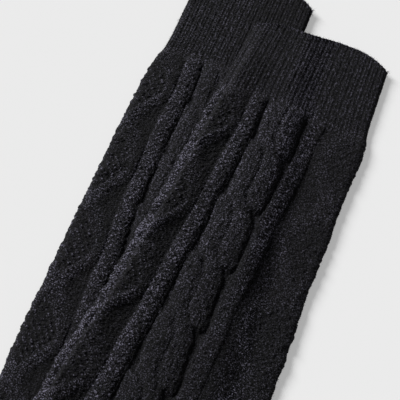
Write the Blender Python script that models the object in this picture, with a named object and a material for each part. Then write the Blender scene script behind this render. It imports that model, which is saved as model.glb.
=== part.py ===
"""A pair of knee-high cable-knit boot socks, laid flat and overlapping.

Both socks lie in profile, cuffs towards +Y, toes towards +X. The upper sock lies on the lower one and
slopes down beside it to the surface. Each is a flattened tube of thick knit, made in five pieces: ribbed
cuff, cabled leg, heel, foot and toe. Sizes are in millimetres in a layout frame. An empty, which carries
all the pieces, moves that frame's origin to the middle of the pair. The meshes are in metres.
"""

import math
from collections import namedtuple

import bmesh
import bpy
import numpy as np

MM = 0.001

# Middle of the pair's box in the layout frame
MIDDLE_X = 66.6
MIDDLE_Y = -79.9

# Cloth: plain wall, slit between a sock's two faces, rounded fold at each side, gap at a seam
WALL = 1.8
SLIT = 0.8
THICK = 2 * WALL + SLIT
FOLD = 3.6
FOLD_ARC = 0.5 * math.pi * (FOLD + THICK / 2) / 2
FOLD_ANGLES = (60, 20, -20, -60)
PROUD_FULL = 20
PROUD_NONE = -60
SLIT_INSET = WALL + 0.7
SEAM = 0.3

# The upper sock lies just clear of the lower sock's tallest stitches, then comes down beside it.
# Lift: how high it lies over the lower sock at height y.
Lift = namedtuple("Lift", "y high")
LIFTS = (Lift(125, 5.75), Lift(101, 7.6), Lift(-172, 7.6), Lift(-200, 4.75))
LEDGE = 2.5
SLOPE = 24.0

# Leg and foot, the same on both socks
ANKLE_DROP = 353.0
INSTEP_RADIUS = 24.0
HEEL_RADIUS = 44.0
FOOT_HEIGHT = 88.0
FOOT_LENGTH = 240.0
TOE_LENGTH = 48.0
TOE_POWER = 2.3
NOSE = 3.0
ARCH_RISE = 2.5
CORNER_FADE = 12.0
RISE_FROM = -0.3
RISE_OVER = 0.55
DROOP_START = 0.45

# The top face stands up beside the left fold of the sock that lies on the other, then comes down again
SWELL_TOP = 6.0
SWELL_END = 26.0
SWELL_FADE = 60.0

# Rope cable: two strands side by side that change places at each crossing.
# A strand is narrower towards the cable's edge than towards its middle.
STRAND_OUT = 6.3
STRAND_OUTER = 6.0
STRAND_INNER = 8.8
STRAND_HIGH = 2.5
CROSSING_HIGH = 0.3
CROSSING_HALF = 12.0
CROSSING_HIDE = 3.0
CROSSING_FADE = 5.0

# Cords beside the cable, then a column of crowned diamonds at each side, on ground that rises to meet them.
# The right column is stretched flatter than the left one.
CORD_HALF = 4.8
CORD_HIGH = 2.7
DIAMOND_OUT = 46.2
DIAMOND_HALF_WIDTH = 17.0
DIAMOND_HALF_HEIGHT = 29.0
OUTLINE_HALF = 3.6
OUTLINE_HIGH = 2.4
STEM_HALF = 2.0
SEED_HIGH = 1.7
SEED_CROWN = 0.5
GROUND = 0.2
GROUND_RISE = 0.6
GROUND_REACH = 14.0
FAINT_FROM = 28.0
FAINT_OVER = 8.0
FAINT = 0.6
PATTERN_FADE = 12.0

# Rib: wales round the whole cuff
RIBS = 39
RIB_HIGH = 1.0
RIB_CREST = 0.28
RIB_HALF = 0.4

# Fineness of the solids
LEG_ROWS = 49
LEG_INNER_STEP = 4
CUFF_ROWS = 6
HEEL_ROWS = 17
HEEL_CROWD = 1.4
FOOT_ROWS = 4
TOE_ROWS = 6
SIDE_POINTS = 9
BOTTOM_SHARES = (0.92, 0.78, 0.64, 0.5, 0.36, 0.22, 0.08, -0.06, -0.2, -0.35, -0.5, -0.6, -0.7, -0.8, -0.91)
PLAIN_TOP_SHARES = (-0.92, -0.6, -0.25, 0.0, 0.2, 0.4, 0.6, 0.78, 0.92)
INNER_SHARES = (-1.0, -0.91, -0.8, -0.7, -0.6, -0.5, -0.3, -0.1, 0.1, 0.3, 0.5, 0.7, 0.85, 1.0)

# Points that the solids put across the cable and cords, measured from the pattern's centre line
PATTERN_POINTS = (1.8, STRAND_OUT, 11.2, 12.9, 16.5, 19.0, 23.0, 25.5)

# A sock's folds: at height y, where its left and right edges lie
Folds = namedtuple("Folds", "y left right")

UPPER_FOLDS = (
    Folds(140, -12.5, 82.6),
    Folds(110, -15.0, 84.4),
    Folds(90, -16.6, 85.5),
    Folds(72, -17.9, 88.0),
    Folds(40, -20.4, 87.3),
    Folds(0, -22.5, 87.9),
    Folds(-40, -26.7, 87.9),
    Folds(-80, -30.2, 89.8),
    Folds(-115, -35.8, 90.8),
    Folds(-150, -39.9, 89.4),
    Folds(-185, -39.0, 79.5),
    Folds(-220, -34.5, 67.0),
)

LOWER_FOLDS = (
    Folds(172, -64.6, 18.4),
    Folds(130, -65.2, 19.2),
    Folds(97, -65.4, 20.0),
    Folds(74, -68.3, 26.5),
    Folds(50, -69.2, 31.0),
    Folds(0, -69.3, 36.0),
    Folds(-65, -69.3, 43.5),
    Folds(-115, -69.2, 49.5),
    Folds(-150, -68.0, 48.5),
    Folds(-185, -64.0, 37.5),
)

# cuff: its height. left_droop, right_droop: how far the cuff's top edge falls at its corners.
# centre, lean: where the pattern's centre line crosses y = 50, and its move to the right per mm up.
# crossing, diamond: how far the first of each lies below the cuff's top edge, and their pitches.
# swell: how far the top face stands up beside the left fold. rise: how far the cuff's top edge stands
# further up right of its middle. cord: how far the cords lie from the centre line.
Sock = namedtuple(
    "Sock",
    "name top cuff folds left_droop right_droop centre lean "
    "crossing crossing_pitch diamond diamond_pitch swell rise cord",
)

UPPER = Sock("upper", 137.5, 53.0, UPPER_FOLDS, 7.5, 8.0, 29.3, 0.058, 91.2, 42.3, 81.0, 62.2, 2.8, 5.0, 21.0)
LOWER = Sock("lower", 167.5, 70.5, LOWER_FOLDS, 5.0, 8.0, -21.5, -0.025, 112.0, 38.2, 102.9, 61.5, 0.0, 0.0, 19.4)

# One course across a sock: its fold points, the droop of its ends, its rise, its share of the full thickness,
# its swell, how far the pattern's centre line lies right of its middle, and its distance below the cuff's top
Row = namedtuple("Row", "left right left_droop right_droop rise thick swell centre drop")


def smooth_step(t):
    t = min(1.0, max(0.0, t))
    return t * t * (3 - 2 * t)


def ridge(t):
    """Height of a round ridge, t half-widths from its middle."""
    return math.sqrt(max(0.0, 1 - t * t))


def along_table(table, column, y):
    """A smooth curve through one column of a fold table, read at height y."""
    heights = np.array([row.y for row in reversed(table)], float)
    values = np.array([getattr(row, column) for row in reversed(table)], float)
    slopes = np.gradient(values, heights)
    i = int(np.clip(np.searchsorted(heights, y) - 1, 0, len(heights) - 2))
    span = heights[i + 1] - heights[i]
    t = (y - heights[i]) / span
    return (
        values[i] * (1 + 2 * t) * (1 - t) ** 2
        + values[i + 1] * t * t * (3 - 2 * t)
        + span * (slopes[i] * t * (1 - t) ** 2 - slopes[i + 1] * t * t * (1 - t))
    )


def leg_row(sock, drop):
    """The course that lies this far below the cuff's top edge."""
    y = sock.top - drop
    left_droop = sock.left_droop * (1 - smooth_step(drop / ANKLE_DROP))
    right_droop = sock.right_droop * math.exp(-drop / CORNER_FADE)
    left = along_table(sock.folds, "left", y - left_droop)
    right = along_table(sock.folds, "right", y - right_droop)
    swell = sock.swell * (0.5 + 0.5 * smooth_step(drop / SWELL_FADE))
    swell *= smooth_step((ANKLE_DROP - drop) / SWELL_FADE)
    rise = sock.rise * (1 - smooth_step(drop / sock.cuff))
    centre = sock.centre + sock.lean * (y - 50) - (left + right) / 2
    return Row((left, y), (right, y), left_droop, right_droop, rise, 1.0, swell, centre, drop)


def ankle(sock):
    """The leg's last course: its height, its left fold and its right fold."""
    y = sock.top - ANKLE_DROP
    return y, along_table(sock.folds, "left", y), along_table(sock.folds, "right", y)


def plain_row(left, right, thick=1.0):
    return Row(left, right, 0.0, 0.0, 0.0, thick, 0.0, 0.0, 0.0)


def heel_reach(angle, across, down):
    """Distance from the instep's pivot to the heel, a rounded corner across wide and down deep."""
    x = math.cos(angle)
    y = math.sin(angle)
    if across * y <= (down - HEEL_RADIUS) * x:
        return across / x
    if down * x <= (across - HEEL_RADIUS) * y:
        return down / y
    towards = x * (across - HEEL_RADIUS) + y * (down - HEEL_RADIUS)
    beyond = (across - HEEL_RADIUS) ** 2 + (down - HEEL_RADIUS) ** 2 - HEEL_RADIUS**2
    return towards + math.sqrt(towards * towards - beyond)


def heel_rows(sock, count):
    """Courses that fan out round the instep, closest together where the heel is roundest."""
    y, left, right = ankle(sock)
    pivot_x = right + INSTEP_RADIUS
    rows = []
    for turn in np.linspace(-1, 1, count):
        angle = math.pi / 4 * (1 + math.copysign(abs(turn) ** HEEL_CROWD, turn))
        reach = heel_reach(angle, pivot_x - left, INSTEP_RADIUS + FOOT_HEIGHT)
        x = math.cos(angle)
        down = math.sin(angle)
        outer = (pivot_x - reach * x, y - reach * down)
        inner = (pivot_x - INSTEP_RADIUS * x, y - INSTEP_RADIUS * down)
        rows.append(plain_row(outer, inner))
    return rows


def foot_row(sock, ahead):
    """The course that lies this far ahead of the back of the heel."""
    y, left, right = ankle(sock)
    arch = right + INSTEP_RADIUS - left
    toe = FOOT_LENGTH - TOE_LENGTH
    instep = y - INSTEP_RADIUS
    sole = instep - FOOT_HEIGHT
    half = (instep - sole) / 2
    middle = (instep + sole) / 2
    if ahead <= toe:
        hollow = ARCH_RISE * math.sin(math.pi * (ahead - arch) / (toe - arch))
        return plain_row((left + ahead, sole + hollow), (left + ahead, instep - hollow))
    share = (ahead - toe) / TOE_LENGTH
    half *= (1 - share**TOE_POWER) ** (1 / TOE_POWER)
    nose = max(0.0, (ahead - FOOT_LENGTH + NOSE) / NOSE)
    return plain_row((left + ahead, middle - half), (left + ahead, middle + half), ridge(nose))


def half_width(row):
    return math.dist(row.left, row.right) / 2


def place(row, across):
    """The point of a row that lies this far right of its middle."""
    share = across / half_width(row)
    t = (share + 1) / 2
    x = row.left[0] + t * (row.right[0] - row.left[0])
    y = row.left[1] + t * (row.right[1] - row.left[1])
    left_bend = max(0.0, -share - DROOP_START) / (1 - DROOP_START)
    right_bend = max(0.0, share - DROOP_START) / (1 - DROOP_START)
    y += row.rise * smooth_step((share - RISE_FROM) / RISE_OVER)
    return x, y - row.left_droop * left_bend**2 - row.right_droop * right_bend**2


def swell_height(row, across):
    """How far the top face stands up at this distance right of the row's middle."""
    inward = across + half_width(row) - FOLD
    falls = smooth_step((SWELL_END - inward) / (SWELL_END - SWELL_TOP))
    return row.swell * smooth_step(inward / SWELL_TOP) * falls


def cable_height(sock, offset, drop):
    """The rope cable: strand k starts hidden at the left, crosses over at crossing k and ends hidden."""
    nearest = round((drop - sock.crossing) / sock.crossing_pitch)
    height = 0.0
    for k in (nearest - 1, nearest, nearest + 1):
        below = drop - (sock.crossing + k * sock.crossing_pitch)
        moved = smooth_step((below + CROSSING_HALF) / (2 * CROSSING_HALF))
        from_middle = offset - STRAND_OUT * (2 * moved - 1)
        narrow = moved if from_middle > 0 else 1 - moved
        half = STRAND_INNER + (STRAND_OUTER - STRAND_INNER) * narrow
        starts = smooth_step((below + sock.crossing_pitch + CROSSING_HIDE) / CROSSING_FADE)
        ends = smooth_step((sock.crossing_pitch + CROSSING_HIDE - below) / CROSSING_FADE)
        proud = STRAND_HIGH + CROSSING_HIGH * ridge(below / CROSSING_HALF)
        round_off = math.sqrt(max(0.0, 1 - abs(from_middle / half) ** 3))
        height = max(height, proud * starts * ends * round_off)
    return height


def diamond_height(sock, offset, drop):
    """A column of diamonds with round sides: raised outlines joined by stems, with seed stitch inside."""
    pitch = sock.diamond_pitch
    beside = abs(abs(offset) - DIAMOND_OUT)
    along = abs((drop - sock.diamond + pitch / 2) % pitch - pitch / 2)
    swell = 0.5 + 0.5 * math.cos(math.pi * min(1.0, along / DIAMOND_HALF_HEIGHT))
    beyond = beside - STEM_HALF - (DIAMOND_HALF_WIDTH - STEM_HALF) * swell
    outline = OUTLINE_HIGH * ridge(beyond / OUTLINE_HALF)
    if beyond < 0:
        cloth = SEED_HIGH + SEED_CROWN * (1 - (1 + beyond / DIAMOND_HALF_WIDTH) ** 2)
    else:
        cloth = GROUND + GROUND_RISE * max(0.0, 1 - beyond / GROUND_REACH) ** 2
    return max(cloth, outline)


def leg_height(sock, offset, drop):
    """How far the leg's stitches stand out of its plain wall."""
    side = abs(offset)
    if side < STRAND_OUT + STRAND_OUTER:
        height = cable_height(sock, offset, drop)
    elif side < sock.cord + CORD_HALF:
        height = CORD_HIGH * ridge((side - sock.cord) / CORD_HALF)
    else:
        faint = FAINT * smooth_step((offset - FAINT_FROM) / FAINT_OVER)
        height = diamond_height(sock, offset, drop) * (1 - faint)
    return height * smooth_step((ANKLE_DROP + PATTERN_FADE / 3 - drop) / PATTERN_FADE)


def leg_across(row):
    """Where a leg row's top points lie: on the pattern's own lines, then evenly out to the folds."""
    flat = half_width(row) - FOLD
    inner = [-point for point in reversed(PATTERN_POINTS)] + [0.0] + list(PATTERN_POINTS)
    last = PATTERN_POINTS[-1]
    left = np.linspace(-flat, row.centre - last, SIDE_POINTS, endpoint=False)
    right = np.linspace(flat, row.centre + last, SIDE_POINTS, endpoint=False)[::-1]
    return [*left, *(row.centre + point for point in inner), *right]


def cuff_across(row):
    """Where a cuff row's top points lie: two on each rib's crest and one in each valley."""
    half = half_width(row)
    pitch = 4 * half / RIBS
    count = int((half - FOLD) / pitch)
    points = []
    for rib in range(-count, count + 1):
        points += [rib * pitch + share * pitch for share in (-RIB_CREST, RIB_CREST, 0.5)]
    return points[:-1]


def plain_across(row):
    flat = half_width(row) - min(FOLD, half_width(row) / 2)
    return [flat * share for share in PLAIN_TOP_SHARES]


def rib_height(row, across):
    """The cuff's ribs, each as wide as its share of the cuff's two faces."""
    pitch = 4 * half_width(row) / RIBS
    return RIB_HIGH if abs((across / pitch + 0.5) % 1 - 0.5) < RIB_HALF else 0.0


def outline_distance(outline, x, y):
    """Distance from a closed outline, zero inside it."""
    start = np.array(outline)
    end = np.roll(start, -1, axis=0)
    run = end - start
    away = np.array([x, y]) - start
    t = np.clip((away * run).sum(1) / np.maximum((run * run).sum(1), 1e-9), 0, 1)
    nearest = np.sqrt(((away - run * t[:, None]) ** 2).sum(1).min())
    crosses = (start[:, 1] > y) != (end[:, 1] > y)
    rise = np.where(crosses, run[:, 1], 1.0)
    hits = crosses & (x < start[:, 0] + run[:, 0] * (y - start[:, 1]) / rise)
    return 0.0 if hits.sum() % 2 else nearest


def sock_outline(sock):
    """The whole sock's edge, seen from above."""
    rows = [leg_row(sock, drop) for drop in np.linspace(0, ANKLE_DROP, 48)]
    rows += heel_rows(sock, HEEL_ROWS)[1:]
    y, left, right = ankle(sock)
    aheads = np.linspace(right + INSTEP_RADIUS - left, FOOT_LENGTH - NOSE, 16)[1:]
    rows += [foot_row(sock, ahead) for ahead in aheads]
    lefts = [place(row, -half_width(row)) for row in rows]
    rights = [place(row, half_width(row)) for row in rows]
    return lefts + rights[::-1]


LOWER_OUTLINE = sock_outline(LOWER)


def floor_height(sock, x, y):
    """What a sock's underside lies on at this point: the surface, or the sock below."""
    if sock is LOWER:
        return 0.0
    beyond = outline_distance(LOWER_OUTLINE, x, y)
    high = LIFTS[0].high
    for above, below in zip(LIFTS, LIFTS[1:]):
        high += (below.high - above.high) * smooth_step((above.y - y) / (above.y - below.y))
    return high * (1 - smooth_step((beyond - LEDGE) / SLOPE))


def outer_ring(sock, row, across_points, height):
    """A course's outside: top face from left to right, right fold, underside, left fold.

    Returns its points and how far round the ring each lies, from 0 to 1.
    """
    half = half_width(row)
    fold = min(FOLD, half / 2)
    thick = THICK * row.thick
    points = []
    places = []

    def add(across, up, out, above, share):
        x, y = place(row, across + out)
        points.append((x, y, floor_height(sock, x, y) + up))
        places.append(0.25 * (share + 1) if above else 0.5 + 0.25 * (1 - share))

    for across in across_points:
        add(across, thick + swell_height(row, across) + height(row, across), 0.0, True, across / half)
    for side in (1, -1):
        angles = FOLD_ANGLES if side == 1 else FOLD_ANGLES[::-1]
        for angle in angles:
            turn = math.radians(angle)
            around = FOLD_ARC * (90 - angle) / 90
            full = smooth_step((angle - PROUD_NONE) / (PROUD_FULL - PROUD_NONE))
            proud = full * height(row, side * (half - fold + around))
            across = side * (half - fold + fold * math.cos(turn))
            out = side * proud * math.cos(turn)
            up = thick / 2 * (1 + math.sin(turn)) + proud * math.sin(turn)
            add(across, max(up, 0.0), out, angle > 0, across / half)
        if side == 1:
            for share in BOTTOM_SHARES:
                across = share * (half - fold)
                add(across, 0.0, 0.0, False, across / half)
    return points, places


def inner_ring(sock, row):
    """The plain slit inside the flattened tube."""
    half = half_width(row) - min(SLIT_INSET, half_width(row) / 3)
    low = WALL * row.thick
    high = THICK * row.thick - low
    points = []
    places = []
    for share in INNER_SHARES:
        x, y = place(row, half * share)
        up = (low + high) / 2 if abs(share) == 1 else high + swell_height(row, half * share)
        points.append((x, y, floor_height(sock, x, y) + up))
        places.append(0.25 * (share + 1))
    for share in INNER_SHARES[-2:0:-1]:
        x, y = place(row, half * share)
        points.append((x, y, floor_height(sock, x, y) + low))
        places.append(0.5 + 0.25 * (1 - share))
    return points, places


def add_rings(bm, rings):
    """Join each ring of points to the next, and return the rings of vertices."""
    loops = [[bm.verts.new([value * MM for value in point]) for point in ring] for ring in rings]
    for one, two in zip(loops, loops[1:]):
        for i in range(len(one)):
            j = (i + 1) % len(one)
            bm.faces.new((one[i], one[j], two[j], two[i]))
    return loops


def add_rim(bm, outer, outer_places, inner, inner_places):
    """Fill between an outer and an inner loop, taking the next point of whichever lies nearer."""
    i = 0
    j = 0
    while i < len(outer) or j < len(inner):
        next_outer = outer_places[(i + 1) % len(outer)] + (i + 1) // len(outer)
        next_inner = inner_places[(j + 1) % len(inner)] + (j + 1) // len(inner)
        here = outer[i % len(outer)], inner[j % len(inner)]
        if j == len(inner) or (i < len(outer) and next_outer <= next_inner):
            bm.faces.new((*here, outer[(i + 1) % len(outer)]))
            i += 1
        else:
            bm.faces.new((*here, inner[(j + 1) % len(inner)]))
            j += 1


def add_cap(bm, loop):
    """Close a loop with a fan about its middle."""
    middle = bm.verts.new(sum((vert.co for vert in loop), start=loop[0].co * 0) / len(loop))
    for i in range(len(loop)):
        bm.faces.new((loop[i], loop[(i + 1) % len(loop)], middle))


def make_piece(name, sock, rows, inner_rows, across_points, height, material, layout, closed=False):
    """One piece of a sock: a flattened tube with a plain slit inside, open at both ends or at one."""
    bm = bmesh.new()
    outer = [outer_ring(sock, row, across_points(row), height) for row in rows]
    inner = [inner_ring(sock, row) for row in inner_rows]
    outer_loops = add_rings(bm, [points for points, places in outer])
    inner_loops = add_rings(bm, [points for points, places in inner])
    add_rim(bm, outer_loops[0], outer[0][1], inner_loops[0], inner[0][1])
    if closed:
        add_cap(bm, outer_loops[-1])
        add_cap(bm, inner_loops[-1])
    else:
        add_rim(bm, outer_loops[-1], outer[-1][1], inner_loops[-1], inner[-1][1])
    bmesh.ops.recalc_face_normals(bm, faces=bm.faces)
    mesh = bpy.data.meshes.new(name)
    bm.to_mesh(mesh)
    bm.free()
    mesh.shade_smooth()
    mesh.set_sharp_from_angle(angle=math.radians(50))
    mesh.materials.append(material)
    piece = bpy.data.objects.new(name, mesh)
    piece.parent = layout
    bpy.context.collection.objects.link(piece)


def make_material(name, colour, roughness):
    material = bpy.data.materials.new(name)
    material.use_nodes = True
    shader = material.node_tree.nodes["Principled BSDF"]
    shader.inputs["Base Color"].default_value = (*colour, 1.0)
    shader.inputs["Roughness"].default_value = roughness
    shader.inputs["Metallic"].default_value = 0.0
    return material


def flat(row, across):
    return 0.0


def make_cuff(sock, material, layout):
    rows = [leg_row(sock, drop) for drop in np.linspace(0, sock.cuff - SEAM, CUFF_ROWS)]
    make_piece(f"{sock.name}_cuff", sock, rows, rows, cuff_across, rib_height, material, layout)


def make_leg(sock, material, layout):
    rows = [leg_row(sock, drop) for drop in np.linspace(sock.cuff, ANKLE_DROP - SEAM, LEG_ROWS)]

    def height(row, across):
        return leg_height(sock, across - row.centre, row.drop)

    inner = rows[::LEG_INNER_STEP]
    make_piece(f"{sock.name}_leg", sock, rows, inner, leg_across, height, material, layout)


def make_heel(sock, material, layout):
    rows = heel_rows(sock, HEEL_ROWS)
    make_piece(f"{sock.name}_heel", sock, rows, rows, plain_across, flat, material, layout)


def make_foot(sock, material, layout):
    y, left, right = ankle(sock)
    start = right + INSTEP_RADIUS - left + SEAM
    aheads = np.linspace(start, FOOT_LENGTH - TOE_LENGTH - SEAM, FOOT_ROWS)
    rows = [foot_row(sock, ahead) for ahead in aheads]
    make_piece(f"{sock.name}_foot", sock, rows, rows, plain_across, flat, material, layout)


def make_toe(sock, material, layout):
    """The toe's courses draw together, so they are closer near its tip."""
    start = FOOT_LENGTH - TOE_LENGTH
    turns = np.linspace(0, math.pi / 2, TOE_ROWS, endpoint=False)
    inner = [foot_row(sock, start + (TOE_LENGTH - NOSE - WALL) * math.sin(turn)) for turn in turns]
    rows = [foot_row(sock, start + (TOE_LENGTH - NOSE) * math.sin(turn)) for turn in turns]
    rows += [foot_row(sock, FOOT_LENGTH - NOSE * share) for share in (1.0, 0.45, 0.1)]
    name = f"{sock.name}_toe"
    make_piece(name, sock, rows, inner, plain_across, flat, material, layout, closed=True)


def main():
    for thing in list(bpy.data.objects):
        bpy.data.objects.remove(thing, do_unlink=True)
    layout = bpy.data.objects.new("layout", None)
    layout.location = (-MIDDLE_X * MM, -MIDDLE_Y * MM, 0)
    bpy.context.collection.objects.link(layout)
    rib = make_material("rib_knit", (0.010, 0.010, 0.012), 0.95)
    cable = make_material("cable_knit", (0.013, 0.013, 0.016), 0.95)
    plain = make_material("plain_knit", (0.011, 0.011, 0.013), 0.95)
    for sock in (LOWER, UPPER):
        make_cuff(sock, rib, layout)
        make_leg(sock, cable, layout)
        make_heel(sock, plain, layout)
        make_foot(sock, plain, layout)
        make_toe(sock, plain, layout)


main()
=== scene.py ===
"""How the pair of knee-high cable-knit boot socks looks: charcoal yarn, drawn stitch by stitch.

Each piece repeats its solid's form from the same sizes with far more points, and its stitches are raised on
that form. Sizes are in millimetres in a layout frame, whose origin is then moved to the middle of the pair.
The meshes are in metres.
"""

import math
from collections import namedtuple

import bpy
import numpy as np
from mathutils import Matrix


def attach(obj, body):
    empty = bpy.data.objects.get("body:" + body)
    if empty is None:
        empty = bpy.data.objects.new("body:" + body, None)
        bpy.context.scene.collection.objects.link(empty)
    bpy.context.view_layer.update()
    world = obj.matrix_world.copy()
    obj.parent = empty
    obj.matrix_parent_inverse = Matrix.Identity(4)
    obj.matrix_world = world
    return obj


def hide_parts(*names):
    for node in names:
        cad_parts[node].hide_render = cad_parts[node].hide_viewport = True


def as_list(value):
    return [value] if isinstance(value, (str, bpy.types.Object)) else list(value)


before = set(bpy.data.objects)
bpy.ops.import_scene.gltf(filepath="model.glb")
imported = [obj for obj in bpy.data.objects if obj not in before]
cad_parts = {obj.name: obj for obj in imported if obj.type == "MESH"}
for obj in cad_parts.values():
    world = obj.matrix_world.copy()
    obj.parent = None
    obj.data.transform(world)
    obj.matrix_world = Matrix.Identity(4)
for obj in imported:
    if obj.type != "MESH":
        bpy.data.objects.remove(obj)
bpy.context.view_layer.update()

MM = 0.001
TURN = 2 * math.pi

# A soft step from 0 to 1: where it starts and over how much. A soft bump: its middle, half width and height.
Ramp = namedtuple("Ramp", "start over")
Bump = namedtuple("Bump", "at half high")

# Middle of the pair's box in the layout frame
MIDDLE = (66.6, -79.9, 0.0)

# Cloth: plain wall, slit between a sock's two faces, rounded fold at each side, gap at a seam. The relief
# fades out round a fold, over degrees of its turn.
WALL = 1.8
SLIT = 0.8
THICK = 2 * WALL + SLIT
FOLD = 3.6
FOLD_ARC = 0.5 * math.pi * (FOLD + THICK / 2) / 2
PROUD = Ramp(-60, 80)
SLIT_INSET = WALL + 0.7
SEAM = 0.3

# Lift: how high the upper sock lies over the lower one at height y, before it comes down beside it
Lift = namedtuple("Lift", "y high")
LIFTS = (Lift(125, 5.75), Lift(101, 7.6), Lift(-172, 7.6), Lift(-200, 4.75))
COMES_DOWN = Ramp(2.5, 24.0)
FLOOR_STEP = 1.5

# Leg and foot, the same on both socks
ANKLE_DROP = 353.0
INSTEP_RADIUS = 24.0
HEEL_RADIUS = 44.0
FOOT_HEIGHT = 88.0
FOOT_LENGTH = 240.0
TOE_LENGTH = 48.0
TOE_POWER = 2.3
NOSE = 3.0
ARCH_RISE = 2.5
CORNER_FADE = 12.0
RIGHT_DROOP = 8.0
RISE = Ramp(-0.3, 0.55)
DROOP_START = 0.45
CENTRE_AT = 50

# The top face stands up beside the left fold of the sock that lies on the other, then comes down again
SWELL_START = 0.25
SWELL_RISES = Ramp(0.0, 3.4)
SWELL_FALLS = Ramp(3.4, 22.6)
SWELL_FADE = 60.0

# Rope cable: two strands side by side that change places at each crossing, with a notched edge
STRAND_OUT = 6.3
STRAND_OUTER = 6.0
STRAND_INNER = 7.4
STRAND_HIGH = 2.6
STRAND_ARCH = 0.4
STRAND_ROUND = 2.7
CABLE_LEFT = 14.5
CABLE_RIGHT = 16.2
CROSSING_HIGH = 0.3
CROSSING_HALF = 12.0
CROSSING_HIDE = 3.0
CROSSING_FADE = 3.5
NOTCH = 2.7
NOTCH_BACK = 6.0
NOTCH_MORE = 0.6
NOTCH_GROWS = Ramp(170, 50)
LEFT_NOTCH = -2.5
RIGHT_NOTCH = 5.0
TROUGH = Bump(0.0, 1.6, 0.4)

# Dimples at each crossing: how far right of the cable's middle and below the crossing, and how deep
Dimple = namedtuple("Dimple", "across below deep")
DIMPLES = (Dimple(-3.5, 3.0, 1.5), Dimple(2.0, -6.0, 0.7))
DIMPLE_WAY = (0.6, 0.8)
DIMPLE_HALF = 1.1
DIMPLE_LONG = 3.2

# Cords beside the cable, with a purl channel on their inner side
CORD_SHIFT = 0.8
CORD_OUT = 21.4
CORD_HALF = 5.7
CORD_ROUND = 2.6
CORD_RIGHT_ROUND = 3.2
CORD_RIGHT_HIGH = 1.8
CHANNEL_HIGH = 1.1

# Column of diamonds at each side, the right one fainter
DIAMOND_OUT = 46.2
DIAMOND_RIGHT = 53.5
DIAMOND_HALF_WIDTH = 17.0
DIAMOND_HALF_HEIGHT = 29.0
OUTLINE_HALF = 3.6
OUTLINE_HIGH = 2.0
OUTLINE_FLANK = 12.5
TOP_FLANK = 0.8
TOP_STARTS = Ramp(-29, 6)
TOP_ENDS = Ramp(-5, 10)
ON_OUTLINE = Ramp(0.3125, 0.625)
STEM_HALF = 2.0
SEED_HIGH = 1.7
SEED_CROWN = 0.5
OUTSIDE = Ramp(-0.75, 1.5)
GROUND = 0.2
GROUND_RISE = 0.6
GROUND_REACH = 14.0
BLEND = 0.45
RIGHT_COLUMN = Ramp(25, 5)
FAINT = 0.4

# How the pattern starts, ends, spreads and strays
STARTS_OVER = 9.0
PATTERN_ENDS = Ramp(ANKLE_DROP - 8.0, 12.0)
SPREADS = Ramp(130, 170)
SPREAD_RIGHT = 0.4
WANDER_FROM = 110
WANDER_LONG = 40
SWAY_OVER = 20

# Rib: how many go round the whole cuff, how high one stands, then places and widths as shares of a rib
RIBS = 39
RIB_SHOWN = 0.6
RIB_HALF = 0.38
RIB_WALE = 0.19
RIB_WALE_HALF = 0.21
RIB_GROOVE = 0.2
RIB_GROOVE_HALF = 0.1
LIP = Bump(0.0, 1.2, 0.4)

# Stitches: a wale's width, a course's height, and how deep the stitches of each kind are cut
WALE = 2.233
COURSE = 1.45
KNIT_DEEP = 0.5
STRAND_DEEP = 0.6
STRAND_LEAST = 0.25
PURL_DEEP = 0.4
BEAD_DEEP = 0.75
SEED_DEEP = 0.55
RIB_DEEP = 0.3
BEAD_PITCH = 4.2
CORD_STITCH = 2.2
SKEW = 0.5
BEAD_SLIP = 1.3
CORD_SLIP = 0.6
BEAD_SHARE = 0.75
CORD_KNIT_SHARE = 0.25
RIGHT_BEAD_SHARE = 0.3
RIGHT_KNIT_SHARE = 0.6
SEED_SLIP = 1.5
FOLD_PROUD = 0.4
PLAIN_DEEP = 0.6

# Tones of the leg's yarn, dark at 0 and light at 1, with painted shade in stitch gaps, hollows and shadows,
# and painted highlights on lit sides
OUTLINE_TONE = 0.85
# Painted shade on the diamonds' upper outline, which faces away from the light
TOP_SHADE = 0.5
SEED_TONE = 0.42
# Ground: painted shadow below the diamonds' outlines, lifting over this ramp away from them
SHADOWED_GROUND_TONE = 0.05
GROUND_OUT_OF_SHADOW = Ramp(8, 10)
# Painted shade in the purl channel beside the cords
CHANNEL_SHADE = 0.25
RIGHT_TONE = 0.15
RIGHT_OUTLINE_TONE = 0.13
RIGHT_INSIDE_DARK = 0.04
RIGHT_INSIDE_ENDS = Ramp(-4, 4)
BEAD_DARK = 0.17
BEAD_LIGHT = 0.9
# Painted shade towards the cords' edges
CORD_FLANK_SHADE = 0.3
# Painted highlight on the left cord's lit side
GLINT = Bump(-23.6, 2.6, 1.0)
# The right cord: darker, with painted light at its middle and painted shade towards its flanks
RIGHT_CORD_TONE = 0.48
RIGHT_CORD_FLANK_SHADE = 0.4
RIGHT_CORD_LIT_AT = 22.6
RIGHT_CORD_LIT_HALF = 6.2
# Painted shade in the dimples beside the crossings
PINCH_SHADE = 0.45
LOW_DARK = 0.45
LOW_DARKENS = Ramp(130, 110)

# Painted shade: dark lines down the leg, as shadow beside the cable's right edge, then at offsets beyond the
# cords
EDGE_SHADOW_LINE = Bump(-0.3, 2.5, 0.85)
CORD_SHADE_LINES = (Bump(29.8, 2.8, 0.7), Bump(-28.8, 2.2, 0.75))

# Tones of the cuff's yarn, of the folds, and where the cloth slopes, creases or goes in under the other sock:
# painted shade in the rib valleys and under the other sock, painted highlights on the cuff's top edge, along
# the folds and on creases, and painted light on slopes
RIB_DARK = 0.3
RIB_LIGHT = 0.55
# Painted shade on the ribs' flanks and in their valleys
RIB_FLANK_SHADE = 0.6
RIB_ON_LEG = 0.55
# Painted highlight along the cuff's top edge
LIP_HIGHLIGHT = 11.25
# How strongly the painted slope light acts on the cuff, and how far it evens the ribs' tones there
CUFF_SLOPE = 1.75
CUFF_TONE = 0.4
CUFF_EVEN = 0.2
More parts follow.
